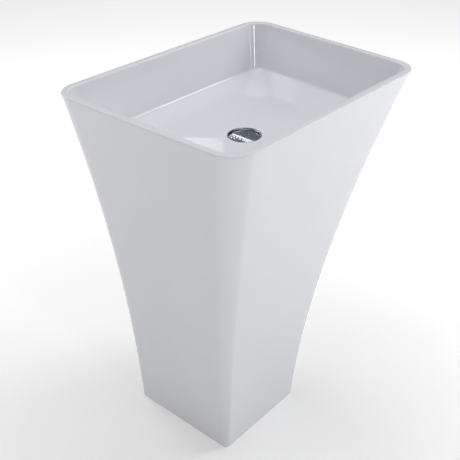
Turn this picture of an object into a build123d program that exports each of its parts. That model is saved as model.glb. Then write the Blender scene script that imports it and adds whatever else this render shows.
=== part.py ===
from build123d import *
import os

# Freestanding pedestal basin in stone resin, with its waste, bottle trap and floor fixings.
# Millimetres, +Z up. The origin is on the floor under the middle of the rim's 600 x 450 rectangle.
# The front faces -Y. The flat back, at +Y, stands against the wall.

# Outer shape
HEIGHT = 900.0
RIM_WIDTH = 600.0            # across the back of the rim
RIM_DEPTH = 450.0
FOOT_WIDTH = 286.0           # across the back of the foot
FOOT_DEPTH = 292.0
SIDE_TAPER = 0.0417          # how far each side runs inward per mm towards the front
RIM_CORNER_R = 51.0
FOOT_CORNER_R = 14.0
SIDE_FLARE = (0.43, 0.53, 0.04)      # share of the flare that grows with s, s^2 and s^3, s = z / HEIGHT
FRONT_FLARE = (0.27, 0.86, -0.13)
BACK_GRINDING = 0.3          # ground off the castings' back to make it flat

# Basin
RIM_WALL = 15.0
EDGE_R = 2.0                 # rounding of the rim's two edges
WALL_SLOPE = 0.275           # how far the inner walls run inward per mm of depth
INNER_CORNER_R = 36.0        # at the rim
FLOOR_CORNER_R = 28.0        # where the walls meet the floor
FLOOR_EDGE_Z = 802.0
DRAIN_Z = 776.0
COVE_R = 9.0                 # rounding between walls and floor
PLATEAU_R = 40.0             # flat round the drain
DISH_STEPS = 4

# Joint between the two castings
BOND_Z = 785.0               # top of the pedestal's wall
BOND_THICKNESS = 1.0
SHELL_WALL = 14.0
TONGUE_DEPTH = 8.0
TONGUE_GAP = 1.5
UNDERSIDE_Z = 760.0
BOSS_R = 48.0
BOSS_Z = 752.0

# Foot, back opening and bracket pads
FOOT_FLANGE = 24.0           # width of the thick edge that stands on the floor
FOOT_FLANGE_HEIGHT = 20.0
OPENING_WIDTH = 200.0
OPENING_Z = (300.0, 680.0)
OPENING_CORNER_R = 25.0
PAD_X = 108.0                # inner face of the pads that the brackets bear on
PAD_Y = 80.0
PAD_LENGTH = 130.0
PAD_HEIGHT = 75.0
PAD_REACH = 100.0            # long enough to run into the side wall

# Floor brackets
BRACKET_LENGTH = 120.0
BRACKET_FOOT = 46.0
BRACKET_HEIGHT = 60.0
STEEL = 3.0
HOLE_PITCH = 60.0            # along Y, in both legs
FLOOR_HOLE_X = 82.0
FLOOR_HOLE_R = 4.5
SCREW_Z = 42.0
SCREW_R = 3.0
INSERT_R = 5.0
INSERT_LENGTH = 12.0
WASHER_R = 6.0
WASHER_THICKNESS = 1.6
HEAD_R = 5.75
HEAD_HEIGHT = 4.0
HEAD_EDGE_R = 1.2
SOCKET_R = 2.3               # hexagon socket, to its corners
SOCKET_DEPTH = 2.4
SCREW_END_GAP = 1.0          # the screw stops this short of the insert's end
WASHER_GAP = 0.2             # radial clearance of the washer's hole
BRACKET_GAP = 0.3            # radial clearance of the bracket's hole

# Waste
CUP_R = 35.5
CUP_WALL = 1.5
CUP_Z = 764.0                # underside of the cup
CUP_FLOOR = 2.0
CUP_EDGE_R = 0.5
RECESS_GAP = 0.2
SEAL_THICKNESS = 1.0
SEAL_INSET = 0.5             # the seal stays this far inside the cup's edge
TAIL_R = 20.95               # G 1 1/4 thread
TAIL_BORE_R = 18.5
TAIL_Z = 688.0
WASTE_HOLE_R = 22.5
CAP_R = 31.5
CAP_TOP_Z = 771.5
CAP_THICKNESS = 2.5
CAP_EDGE_R = 0.9
CAP_SEAL_R = (24.5, 16.5)    # outside and inside
CAP_SEAL_EDGE_R = 0.8
SEAL_CLEARANCE = 0.3
STEM_R = 4.0
STEM_Z = 745.0
STEM_HEAD_R = 9.25           # disc welded under the cap
STEM_HEAD = 2.0
RUNNING = 0.05               # radial clearance of parts that move
THREAD_GAP = 0.1             # radial clearance of screwed parts
CARTRIDGE_R = 6.9
CARTRIDGE_Z = (720.0, 758.0)
CARTRIDGE_FLOOR = 2.0
CARTRIDGE_HEAD_R = 9.0
BRIDGE_Z = (744.0, 751.0)
BRIDGE_ARM = 3.0
ARM_ROOT = 1.0               # how far each arm runs into the tail's wall
ARM_TURN = 30.0
HUB_R = 9.5
SPRING_R = 3.2
WIRE_R = 0.4
SPRING_COILS = 6
SPRING_GAP = 0.2             # at each end of the spring

# Stack under the bowl
UNDER_WASHER = 6.0
SLIP_RING = 1.5
BACKNUT = 10.0
BACKNUT_AF = 60.0
STACK_R = 33.0
STACK_GAP = 0.3              # radial clearance round the tail
UNDER_WASHER_CONE = 2.5
BACKNUT_CORNER_R = 33.5
BACKNUT_CHAMFER = 1.5

# Bottle trap
TUBE_R = 16.0
TUBE_BORE_R = 14.2
TUBE_COLLAR_R = 20.6
TUBE_COLLAR = 3.0
TUBE_END_Z = 552.0
NUT_R = 25.0
NUT_RIBS = 12
RIB_SIZE = (3.0, 3.6)        # across and outward
RIB_ROOT = 1.6               # how deep a rib runs into the nut
RIB_END = 1.5                # plain rim above and below the ribs
NUT_EDGE_R = 1.2
NUT_LENGTH = 20.0
NUT_SHOULDER = 3.0
INLET_NUT_Z = (680.0, 700.0)
INLET_SEAL = 2.0
BODY_R = 30.0
BODY_WALL = 3.0
BODY_Z = (566.0, 640.0)
BODY_SHOULDER_R = 6.0
BRANCH_ROOT = 8.0            # how far the branch runs into the body before it is bored
NECK_R = 21.0
NECK_TOP_Z = 656.0
TUBE_SOCKET_R = 16.3
OUTLET_Z = 612.0
STOP_GROOVE_Y = 66.0         # ring on the pipe that shows how far the nut and the wall socket reach
STOP_GROOVE = (1.0, 0.5)     # width and depth
BRANCH_END_Y = 56.0
CUP_GRIP_R = 33.5
TRAP_CUP_Z = 528.0
CUP_RING_Z = 582.0
TRAP_SEAL = 2.0
CONE_SEAL = 5.0
CONE_SEAL_INSET = 1.0
CONE_SEAL_TAPER = 2.5
CUP_THREAD = 8.0             # height of the ring that screws over the body
CUP_GRIP = 22.0
CUP_GRIP_EDGE_R = 1.5
CUP_RIBS = 16
CUP_RIB_R = 1.8
CUP_RIB_END = 2.0            # plain rim above and below the ribs
CUP_BOTTOM_R = (10.0, 7.0)   # rounding outside and inside
TRAP_SEAL_GAP = 0.2          # radial play of the seal ring on each side
PIPE_START_Y = 38.0

REAR_Y = RIM_DEPTH / 2
UP = (Align.CENTER, Align.CENTER, Align.MIN)


def rear_half_width(z):
    """Half the outer width along the back plane at height z."""
    s = z / HEIGHT
    a, b, c = SIDE_FLARE
    return FOOT_WIDTH / 2 + (RIM_WIDTH - FOOT_WIDTH) / 2 * (a * s + b * s**2 + c * s**3)


def front_y(z):
    """Y of the outer front face at height z."""
    s = z / HEIGHT
    a, b, c = FRONT_FLARE
    return REAR_Y - FOOT_DEPTH - (RIM_DEPTH - FOOT_DEPTH) * (a * s + b * s**2 + c * s**3)


def corner_radius(z):
    return FOOT_CORNER_R + (RIM_CORNER_R - FOOT_CORNER_R) * z / HEIGHT


def plan(half_width, back, front, radius, z):
    """A rounded trapezoid at height z; half_width is measured on the back plane."""
    back_half = half_width - SIDE_TAPER * (REAR_Y - back)
    front_half = half_width - SIDE_TAPER * (REAR_Y - front)
    corners = [(-back_half, back), (back_half, back), (front_half, front), (-front_half, front)]
    outline = Polygon(*corners, align=None)
    return Pos(0, 0, z) * fillet(outline.vertices(), radius)


def outer_plan(z, inset=0.0):
    radius = max(corner_radius(z) - inset, FOOT_CORNER_R / 3)
    return plan(rear_half_width(z) - inset, REAR_Y - inset, front_y(z) + inset, radius, z)


def flared_solid(bottom, top, inset=0.0, levels=8):
    """The flared outer form, or the same form set in by a wall, between two heights."""
    heights = [bottom + (top - bottom) * i / levels for i in range(levels + 1)]
    return loft([outer_plan(z, inset) for z in heights])


def outer_solid(bottom, top, levels=8):
    """The flared outer form with its back ground flat."""
    block = Box(RIM_WIDTH * 2, RIM_DEPTH * 2, HEIGHT * 3, align=(Align.CENTER, Align.MAX, Align.CENTER))
    return flared_solid(bottom, top, -BACK_GRINDING, levels) & Pos(0, REAR_Y, 0) * block


def basin_plan(z):
    """The basin's inner outline at height z on its slanted walls."""
    depth = HEIGHT - z
    inset = RIM_WALL + WALL_SLOPE * depth
    share = depth / (HEIGHT - FLOOR_EDGE_Z)
    radius = INNER_CORNER_R + (FLOOR_CORNER_R - INNER_CORNER_R) * share
    return plan(RIM_WIDTH / 2 - inset, REAR_Y - inset, inset - REAR_Y, radius, z)


def dish_plan(share):
    """Outline of the dished floor: share 0 is its edge, 1 the flat round the drain."""
    inset = RIM_WALL + WALL_SLOPE * (HEIGHT - FLOOR_EDGE_Z)
    edge_half = RIM_WIDTH / 2 - inset
    edge_back = REAR_Y - inset
    drain_half = PLATEAU_R + SIDE_TAPER * REAR_Y
    half = edge_half + (drain_half - edge_half) * share
    back = edge_back + (PLATEAU_R - edge_back) * share
    radius = FLOOR_CORNER_R + (0.9 * PLATEAU_R - FLOOR_CORNER_R) * share
    fall = 1 - (1 - share) ** 1.5
    return plan(half, back, -back, radius, FLOOR_EDGE_Z - (FLOOR_EDGE_Z - DRAIN_Z) * fall)


def cylinder(radius, bottom, top):
    return Pos(0, 0, bottom) * Cylinder(radius, top - bottom, align=UP)


def ring(outer, inner, bottom, top):
    return cylinder(outer, bottom, top) - cylinder(inner, bottom, top)


def basin_hollow():
    walls = loft([basin_plan(FLOOR_EDGE_Z), basin_plan(HEIGHT)], ruled=True)
    dish = loft([dish_plan(i / DISH_STEPS) for i in range(DISH_STEPS + 1)])
    hollow = walls + dish
    edge = hollow.edges().filter_by_position(Axis.Z, FLOOR_EDGE_Z - 0.01, FLOOR_EDGE_Z + 0.01)
    return fillet(edge, COVE_R)


def basin_bowl():
    bottom = BOND_Z + BOND_THICKNESS
    body = outer_solid(bottom, HEIGHT)
    tongue_inset = SHELL_WALL + TONGUE_GAP
    tongue_z = bottom - TONGUE_DEPTH
    body += loft([outer_plan(tongue_z, tongue_inset), outer_plan(bottom, tongue_inset)], ruled=True)
    drain_half = BOSS_R + SIDE_TAPER * REAR_Y
    under = plan(drain_half, BOSS_R, -BOSS_R, 0.9 * BOSS_R, UNDERSIDE_Z)
    body += loft([under, outer_plan(tongue_z, tongue_inset)], ruled=True)
    body += cylinder(BOSS_R, BOSS_Z, DRAIN_Z - 1)
    body -= basin_hollow()
    rim = body.faces().sort_by(Axis.Z)[-1]
    body = fillet(rim.edges(), EDGE_R)
    body -= cylinder(CUP_R + RECESS_GAP, CUP_Z - SEAL_THICKNESS, HEIGHT)
    return body - cylinder(WASTE_HOLE_R, BOSS_Z, HEIGHT)


def bond_bead():
    top = BOND_Z + BOND_THICKNESS
    body = outer_solid(BOND_Z, top, levels=1)
    return body - loft([outer_plan(BOND_Z, SHELL_WALL), outer_plan(top, SHELL_WALL)], ruled=True)


def bracket_places():
    """Side and Y of each bracket screw."""
    return [(side, PAD_Y + step * HOLE_PITCH / 2) for side in (-1, 1) for step in (-1, 1)]


def along_x(side, shape):
    """Turn a shape built along +Z so that it points outward along X on the given side."""
    return Rot(0, 90 * side, 0) * shape


def pedestal_shell():
    body = outer_solid(0, BOND_Z)
    body -= flared_solid(FOOT_FLANGE_HEIGHT, BOND_Z, SHELL_WALL)
    body -= loft([outer_plan(0, FOOT_FLANGE), outer_plan(FOOT_FLANGE_HEIGHT, FOOT_FLANGE)], ruled=True)
    foot = flared_solid(0, PAD_HEIGHT, SHELL_WALL / 2, levels=2)
    for side in (-1, 1):
        block = Box(PAD_REACH, PAD_LENGTH, PAD_HEIGHT, align=UP)
        body += Pos(side * (PAD_X + PAD_REACH / 2), PAD_Y, 0) * block & foot
    for side, y in bracket_places():
        hole = Cylinder(INSERT_R, INSERT_LENGTH, align=UP)
        body -= Pos(side * PAD_X, y, SCREW_Z) * along_x(side, hole)
    low, high = OPENING_Z
    opening = Plane.XZ * RectangleRounded(OPENING_WIDTH, high - low, OPENING_CORNER_R)
    opening = extrude(opening, 4 * SHELL_WALL, both=True)
    return body - Pos(0, REAR_Y, (low + high) / 2) * opening


def floor_bracket(side):
    wall = Box(STEEL, BRACKET_LENGTH, BRACKET_HEIGHT, align=UP)
    bracket = Pos(side * (PAD_X - STEEL / 2), PAD_Y, 0) * wall
    foot = Box(BRACKET_FOOT, BRACKET_LENGTH, STEEL, align=UP)
    bracket += Pos(side * (PAD_X - BRACKET_FOOT / 2), PAD_Y, 0) * foot
    bend = bracket.edges().filter_by(Axis.Y).filter_by_position(Axis.Z, STEEL - 0.1, STEEL + 0.1)
    bend = bend.filter_by_position(Axis.X, side * (PAD_X - STEEL) - 0.1, side * (PAD_X - STEEL) + 0.1)
    bracket = fillet(bend, STEEL)
    for place_side, y in bracket_places():
        if place_side == side:
            bracket -= Pos(side * FLOOR_HOLE_X, y, 0) * Cylinder(FLOOR_HOLE_R, STEEL * 3)
            slot = Cylinder(SCREW_R + BRACKET_GAP, STEEL * 3)
            bracket -= Pos(side * PAD_X, y, SCREW_Z) * along_x(side, slot)
    return bracket


def bracket_hardware(make_one):
    """Four copies of one fastener, each turned to its side of the foot."""
    parts = [Pos(0, y, SCREW_Z) * along_x(side, make_one()) for side, y in bracket_places()]
    return Compound(children=parts)


def insert():
    """A knurled brass insert, built along +Z with X standing for the distance from the centre plane."""
    shell = Cylinder(INSERT_R, INSERT_LENGTH, align=UP) - Cylinder(SCREW_R, INSERT_LENGTH, align=UP)
    return Pos(0, 0, PAD_X) * shell


def washer():
    base = PAD_X - STEEL - WASHER_THICKNESS
    return ring(WASHER_R, SCREW_R + WASHER_GAP, base, PAD_X - STEEL)


def screw():
    seat = PAD_X - STEEL - WASHER_THICKNESS
    head = cylinder(HEAD_R, seat - HEAD_HEIGHT, seat)
    head = fillet(head.edges().sort_by(Axis.Z)[0], HEAD_EDGE_R)
    socket = extrude(Pos(0, 0, seat - HEAD_HEIGHT) * RegularPolygon(SOCKET_R, 6), SOCKET_DEPTH)
    return head - socket + cylinder(SCREW_R, seat, PAD_X + INSERT_LENGTH - SCREW_END_GAP)


def waste_flange():
    """Chrome cup, threaded tail and the three-armed bridge that carries the latch."""
    body = cylinder(CUP_R, CUP_Z, DRAIN_Z) - cylinder(CUP_R - CUP_WALL, CUP_Z + CUP_FLOOR, DRAIN_Z)
    body = fillet(body.faces().sort_by(Axis.Z)[-1].edges(), CUP_EDGE_R)
    body += cylinder(TAIL_R, TAIL_Z, CUP_Z)
    body -= cylinder(TAIL_BORE_R, TAIL_Z, DRAIN_Z)
    low, high = BRIDGE_Z
    reach = TAIL_BORE_R + ARM_ROOT
    arm = Box(reach, BRIDGE_ARM, high - low, align=(Align.MIN, Align.CENTER, Align.MIN))
    for turn in range(3):
        body += Rot(0, 0, 120 * turn + ARM_TURN) * Pos(0, 0, low) * arm
    body += cylinder(HUB_R, low, high)
    return body - cylinder(CARTRIDGE_R + THREAD_GAP, low, high)


def flange_seal():
    return ring(CUP_R - SEAL_INSET, WASTE_HOLE_R, CUP_Z - SEAL_THICKNESS, CUP_Z)


def plug_cap():
    cap = cylinder(CAP_R, CAP_TOP_Z - CAP_THICKNESS, CAP_TOP_Z)
    cap = fillet(cap.edges().sort_by(Axis.Z)[-1], CAP_EDGE_R)
    return cap


def cap_seal():
    """Soft ring under the cap that closes on the floor of the cup."""
    seat = CUP_Z + CUP_FLOOR + SEAL_CLEARANCE
    body = ring(*CAP_SEAL_R, seat, CAP_TOP_Z - CAP_THICKNESS)
    return fillet(body.edges().sort_by(Axis.Z)[:2], CAP_SEAL_EDGE_R)


def plunger_stem():
    top = CAP_TOP_Z - CAP_THICKNESS
    stem = cylinder(STEM_R, STEM_Z, top)
    return stem + cylinder(STEM_HEAD_R, top - STEM_HEAD, top)


def latch_cartridge():
    low, high = CARTRIDGE_Z
    body = ring(CARTRIDGE_R, STEM_R + RUNNING, low, high) + cylinder(CARTRIDGE_R, low, low + CARTRIDGE_FLOOR)
    return body + ring(CARTRIDGE_HEAD_R, STEM_R + RUNNING, BRIDGE_Z[1], high)


def cartridge_spring():
    bottom = CARTRIDGE_Z[0] + CARTRIDGE_FLOOR + SPRING_GAP + WIRE_R
    length = STEM_Z - SPRING_GAP - WIRE_R - bottom
    path = Pos(0, 0, bottom) * Helix(length / SPRING_COILS, length, SPRING_R)
    wire = Plane(origin=path @ 0, z_dir=path % 0) * Circle(WIRE_R)
    return sweep(wire, path=path)


def under_washer():
    top = BOSS_Z
    body = ring(STACK_R, TAIL_R + STACK_GAP, top - UNDER_WASHER, top)
    return chamfer(body.edges().sort_by(Axis.Z)[-1], UNDER_WASHER_CONE)


def slip_ring():
    top = BOSS_Z - UNDER_WASHER
    return ring(STACK_R, TAIL_R + STACK_GAP, top - SLIP_RING, top)


def backnut():
    top = BOSS_Z - UNDER_WASHER - SLIP_RING
    hexagon = RegularPolygon(BACKNUT_AF / 2, 6, major_radius=False)
    body = extrude(Pos(0, 0, top - BACKNUT) * hexagon, BACKNUT)
    body &= chamfer(cylinder(BACKNUT_CORNER_R, top - BACKNUT, top).edges(), BACKNUT_CHAMFER)
    return body - cylinder(TAIL_R + THREAD_GAP, top - BACKNUT, top)


def ribbed_nut(bottom, top, thread_r):
    """A hand-tightened union nut: thread above, shoulder with the tube's passage below."""
    body = fillet(cylinder(NUT_R, bottom, top).edges(), NUT_EDGE_R)
    width, height = RIB_SIZE
    for turn in range(NUT_RIBS):
        rib = Box(height, width, top - bottom - 2 * RIB_END, align=UP)
        rib = Pos(NUT_R + height / 2 - RIB_ROOT, 0, bottom + RIB_END) * rib
        body += Rot(0, 0, 360 / NUT_RIBS * turn) * rib
    body -= cylinder(TUBE_SOCKET_R, bottom, top)
    return body - cylinder(thread_r + THREAD_GAP, bottom + NUT_SHOULDER, top)


def inlet_nut():
    low, high = INLET_NUT_Z
    return ribbed_nut(low, high, TAIL_R)


def inlet_seal():
    return ring(TUBE_COLLAR_R, TUBE_R, TAIL_Z - INLET_SEAL, TAIL_Z)


def dip_tube():
    top = TAIL_Z - INLET_SEAL
    body = cylinder(TUBE_R, TUBE_END_Z, top) + cylinder(TUBE_COLLAR_R, top - TUBE_COLLAR, top)
    return body - cylinder(TUBE_BORE_R, TUBE_END_Z, top)


def along_y(shape):
    """Turn a shape built along +Z so that it points to the back, at the height of the outlet."""
    return Pos(0, 0, OUTLET_Z) * Rot(-90, 0, 0) * shape


def trap_body():
    low, high = BODY_Z
    body = cylinder(BODY_R, low, high)
    body = fillet(body.edges().sort_by(Axis.Z)[-1], BODY_SHOULDER_R)
    body += cylinder(NECK_R, high - 1, NECK_TOP_Z)
    body += along_y(cylinder(NECK_R, BODY_R - BRANCH_ROOT, BRANCH_END_Y))
    body -= cylinder(BODY_R - BODY_WALL, low, high - BODY_WALL)
    body -= cylinder(TUBE_SOCKET_R, low, NECK_TOP_Z)
    return body - along_y(cylinder(TUBE_SOCKET_R, 0, BRANCH_END_Y))


def cone_seal(base):
    """Tapered washer that a nut squeezes against the tube; its thin end points away from base."""
    body = ring(NECK_R - CONE_SEAL_INSET, TUBE_R + THREAD_GAP, base, base + CONE_SEAL)
    rim = body.edges().filter_by(GeomType.CIRCLE).sort_by(Axis.Z)[-2:]
    return chamfer(rim.sort_by(SortBy.RADIUS)[-1], CONE_SEAL_TAPER)


def tube_seal():
    return cone_seal(NECK_TOP_Z)


def outlet_seal():
    return along_y(cone_seal(BRANCH_END_Y))


def clamp_nut(neck_end):
    """A union nut turned shoulder first, so that it screws onto the neck below it."""
    top = neck_end + CONE_SEAL + NUT_SHOULDER
    nut = ribbed_nut(-top, NUT_LENGTH - top, NECK_R)
    return Rot(180, 0, 0) * nut


def tube_nut():
    return clamp_nut(NECK_TOP_Z)


def outlet_nut():
    return along_y(clamp_nut(BRANCH_END_Y))


def outlet_pipe():
    pipe = ring(TUBE_R, TUBE_BORE_R, PIPE_START_Y, REAR_Y)
    width, depth = STOP_GROOVE
    return along_y(pipe - ring(TUBE_R + 1, TUBE_R - depth, STOP_GROOVE_Y, STOP_GROOVE_Y + width))


def trap_cup():
    """Cup that screws onto the trap's body from below; its thread is a plain running fit here."""
    outer_round, inner_round = CUP_BOTTOM_R
    body = cylinder(BODY_R, TRAP_CUP_Z, CUP_RING_Z - CUP_THREAD)
    body = fillet(body.edges().sort_by(Axis.Z)[0], outer_round)
    grip_z = CUP_RING_Z - CUP_GRIP
    body += fillet(cylinder(CUP_GRIP_R, grip_z, CUP_RING_Z).edges(), CUP_GRIP_EDGE_R)
    rib = Cylinder(CUP_RIB_R, CUP_GRIP - 2 * CUP_RIB_END, align=UP)
    for turn in range(CUP_RIBS):
        body += Rot(0, 0, 360 / CUP_RIBS * turn) * Pos(CUP_GRIP_R, 0, grip_z + CUP_RIB_END) * rib
    seal_z = BODY_Z[0] - TRAP_SEAL
    hollow = cylinder(BODY_R - BODY_WALL, TRAP_CUP_Z + BODY_WALL, seal_z)
    body -= fillet(hollow.edges().sort_by(Axis.Z)[0], inner_round)
    return body - cylinder(BODY_R + RUNNING, seal_z, CUP_RING_Z)


def trap_cup_seal():
    inner = BODY_R - BODY_WALL + TRAP_SEAL_GAP
    bottom = BODY_Z[0] - TRAP_SEAL
    return ring(BODY_R - TRAP_SEAL_GAP, inner, bottom, BODY_Z[0] - SEAL_CLEARANCE)


NODES = {
    "basin_bowl": basin_bowl,
    "pedestal_shell": pedestal_shell,
    "bond_bead": bond_bead,
    "floor_bracket_left": lambda: floor_bracket(-1),
    "floor_bracket_right": lambda: floor_bracket(1),
    "bracket_insert": lambda: bracket_hardware(insert),
    "bracket_washer": lambda: bracket_hardware(washer),
    "bracket_screw": lambda: bracket_hardware(screw),
    "waste_flange": waste_flange,
    "flange_seal": flange_seal,
    "plug_cap": plug_cap,
    "cap_seal": cap_seal,
    "plunger_stem": plunger_stem,
    "latch_cartridge": latch_cartridge,
    "cartridge_spring": cartridge_spring,
    "under_washer": under_washer,
    "slip_ring": slip_ring,
    "backnut": backnut,
    "inlet_nut": inlet_nut,
    "inlet_seal": inlet_seal,
    "dip_tube": dip_tube,
    "tube_nut": tube_nut,
    "tube_seal": tube_seal,
    "trap_body": trap_body,
    "trap_cup": trap_cup,
    "trap_cup_seal": trap_cup_seal,
    "outlet_nut": outlet_nut,
    "outlet_seal": outlet_seal,
    "outlet_pipe": outlet_pipe,
}

os.makedirs("parts", exist_ok=True)
for name, make in NODES.items():
    export_step(make(), os.path.join("parts", name + ".step"))
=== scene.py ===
import math

import bmesh
import bpy
from mathutils import Matrix, Vector


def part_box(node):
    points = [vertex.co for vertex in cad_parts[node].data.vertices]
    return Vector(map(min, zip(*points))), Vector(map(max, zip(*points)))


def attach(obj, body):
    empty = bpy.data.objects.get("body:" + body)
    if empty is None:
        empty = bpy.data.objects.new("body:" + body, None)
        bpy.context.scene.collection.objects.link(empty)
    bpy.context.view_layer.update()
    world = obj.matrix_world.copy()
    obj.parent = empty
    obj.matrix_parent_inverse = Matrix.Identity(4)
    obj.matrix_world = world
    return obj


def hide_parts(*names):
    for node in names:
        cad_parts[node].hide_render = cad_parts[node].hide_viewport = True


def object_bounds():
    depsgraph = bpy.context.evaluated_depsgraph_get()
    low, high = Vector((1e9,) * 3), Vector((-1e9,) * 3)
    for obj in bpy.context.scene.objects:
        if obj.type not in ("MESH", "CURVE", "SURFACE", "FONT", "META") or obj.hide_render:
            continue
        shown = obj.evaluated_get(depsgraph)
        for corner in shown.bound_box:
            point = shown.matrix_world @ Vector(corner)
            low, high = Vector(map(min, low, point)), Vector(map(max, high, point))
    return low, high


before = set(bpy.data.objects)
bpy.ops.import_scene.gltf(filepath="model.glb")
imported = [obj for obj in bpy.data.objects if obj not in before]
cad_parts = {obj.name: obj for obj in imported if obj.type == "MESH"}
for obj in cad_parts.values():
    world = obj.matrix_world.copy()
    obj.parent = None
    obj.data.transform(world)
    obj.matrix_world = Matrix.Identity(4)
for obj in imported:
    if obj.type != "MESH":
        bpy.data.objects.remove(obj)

cad_low, cad_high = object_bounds()

# The viewpoint: a standing person's view from the front left, looking down into the basin.
# A moderate telephoto lens keeps the flare of the sides close to its true proportions.
CAMERA_PLACE = (-1.0487, -0.9039, 1.4414)
CAMERA_TILT = 57.07
CAMERA_HEADING = -48.033
CAMERA_LENS = 58.51
camera_data = bpy.data.cameras.new("camera")
camera_data.lens = CAMERA_LENS
camera_data.sensor_width = 36.0
camera = bpy.data.objects.new("camera", camera_data)
camera.location = CAMERA_PLACE
camera.rotation_euler = (math.radians(CAMERA_TILT), 0.0, math.radians(CAMERA_HEADING))
bpy.context.scene.collection.objects.link(camera)
bpy.context.scene.camera = camera

# The pedestal is one hollow casting in white stone resin, open under the foot. It flares from the foot
# to the basin, stands flat against the wall at the back, and has a service opening there.
FULL_HEIGHT = cad_high.z
BACK_Y = cad_high.y
RIM_HALF = 0.300
FOOT_HALF = 0.143
RIM_FRONT = -0.225
FOOT_FRONT = -0.067
SIDE_TAPER = 0.0417
RIM_CORNER = 0.051
FOOT_CORNER = 0.014
SIDE_FLARE = (0.43, 0.53, 0.04)
FRONT_FLARE = (0.27, 0.86, -0.13)
CORNER_STEPS = 16
SIDE_STEPS = 10


def curve_share(s, shares):
    """How far out a side has come at the share s of the height; the shares add up to 1."""
    a, b, c = shares
    return a * s + b * s * s + c * s * s * s


def flare(z):
    """Half width on the back plane, front Y and corner radius of the outer form at height z."""
    s = z / FULL_HEIGHT
    half = FOOT_HALF + (RIM_HALF - FOOT_HALF) * curve_share(s, SIDE_FLARE)
    front = FOOT_FRONT + (RIM_FRONT - FOOT_FRONT) * curve_share(s, FRONT_FLARE)
    return half, front, FOOT_CORNER + (RIM_CORNER - FOOT_CORNER) * s


def rounded_plan(half, back, front, radius, z):
    """Points round a trapezoid with rounded corners at height z; half is measured on the back plane."""
    back_half = half - SIDE_TAPER * (BACK_Y - back)
    front_half = half - SIDE_TAPER * (BACK_Y - front)
    corners = [
        Vector(c) for c in ((front_half, front), (back_half, back), (-back_half, back), (-front_half, front))]
    arcs = []
    for i, corner in enumerate(corners):
        along = (corner - corners[i - 1]).normalized()
        onward = (corners[(i + 1) % 4] - corner).normalized()
        turn = along.angle(onward)
        start = corner - along * radius * math.tan(turn / 2)
        centre = start + Vector((-along.y, along.x)) * radius
        spoke = start - centre
        arc = []
        for k in range(CORNER_STEPS + 1):
            arc.append(centre + Matrix.Rotation(turn * k / CORNER_STEPS, 2) @ spoke)
        arcs.append(arc)
    points = []
    for i, arc in enumerate(arcs):
        points.extend(arc)
        begin, end = arc[-1], arcs[(i + 1) % 4][0]
        points.extend(begin.lerp(end, k / SIDE_STEPS) for k in range(1, SIDE_STEPS))
    return [Vector((p.x, p.y, z)) for p in points]


def flared_ring(z, inset=0.0):
    half, front, radius = flare(z)
    return rounded_plan(half - inset, BACK_Y - inset, front + inset, max(radius - inset, FOOT_CORNER / 3), z)


def even(low, high, steps):
    return [low + (high - low) * i / steps for i in range(steps + 1)]


def rounded_edge(start, corner, end, steps=5):
    """Rings that round an edge: from start to end, bending round the corner ring."""
    rings = []
    for k in range(1, steps):
        t = k / steps
        rings.append([
            a * (1 - t) ** 2 + b * 2 * t * (1 - t) + c * t * t for a, b, c in zip(start, corner, end)])
    return rings


def mesh_of(name, rings, loop=True, angle=35.0):
    """A skin through rings of points; loop joins the last to the first, otherwise the ends are filled."""
    mesh = bpy.data.meshes.new(name)
    bm = bmesh.new()
    rows = [[bm.verts.new(p) for p in ring] for ring in rings]
    pairs = list(zip(rows, rows[1:] + rows[:1])) if loop else list(zip(rows, rows[1:]))
    for low, high in pairs:
        for k in range(len(low)):
            n = (k + 1) % len(low)
            bm.faces.new((low[k], low[n], high[n], high[k]))
    if not loop:
        bm.faces.new(rows[0][::-1])
        bm.faces.new(rows[-1])
    bmesh.ops.recalc_face_normals(bm, faces=bm.faces)
    bm.to_mesh(mesh)
    bm.free()
    crisp(mesh, angle)
    thing = bpy.data.objects.new(name, mesh)
    bpy.context.scene.collection.objects.link(thing)
    return thing


def crisp(mesh, angle=35.0):
    """Smooth shading that stops at edges sharper than angle."""
    mesh.shade_smooth()
    mesh.set_sharp_from_angle(angle=math.radians(angle))


def carve(thing, tools, operation="DIFFERENCE"):
    """Cuts the tools from a solid, or adds them to it, and throws the tools away."""
    for tool in tools:
        step = thing.modifiers.new(tool.name, "BOOLEAN")
        step.operation = operation
        step.solver = "EXACT"
        step.object = tool
    bpy.context.view_layer.update()
    shaped = thing.evaluated_get(bpy.context.evaluated_depsgraph_get())
    thing.data = bpy.data.meshes.new_from_object(shaped)
    thing.modifiers.clear()
    crisp(thing.data)
    for tool in tools:
        bpy.data.objects.remove(tool)


def settle(thing, node, material, body="stand"):
    """Gives a piece its material, lets it stand for its CAD node, and fixes it to its body."""
    thing.data.materials.clear()
    thing.data.materials.append(material)
    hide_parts(node)
    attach(thing, body)


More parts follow.
